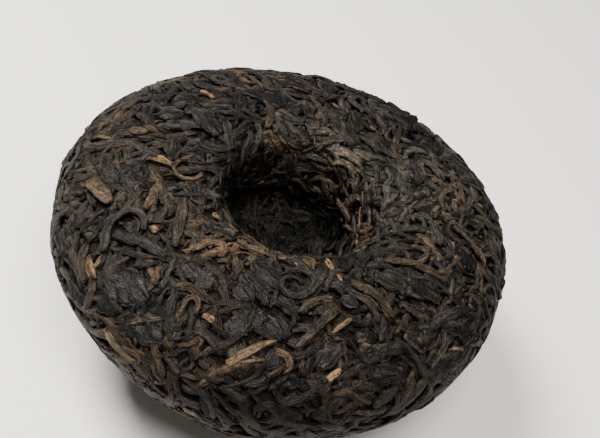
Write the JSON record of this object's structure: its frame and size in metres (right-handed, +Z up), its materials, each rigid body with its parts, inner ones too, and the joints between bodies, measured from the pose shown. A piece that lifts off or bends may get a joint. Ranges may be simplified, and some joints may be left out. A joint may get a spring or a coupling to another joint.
{
  "type": "pressed tea cake",
  "caption": "Nest-shaped cake of pressed dark tea leaves with a round hollow in its top, lying on its dome.",
  "frame": {"origin": "middle of the small flat foot at the bottom of the dome, which the cake lies on", "axes": "+Z up out of the foot and through the hollow's mouth; the near side of the picture is -Y and its right side is +X"},
  "size_m": [0.0826, 0.0837, 0.0433],
  "materials": {
    "pressed_leaf": "matte"
  },
  "bodies": {
    "root": {"tea_cake": "pressed_leaf"}
  },
  "joints": []
}
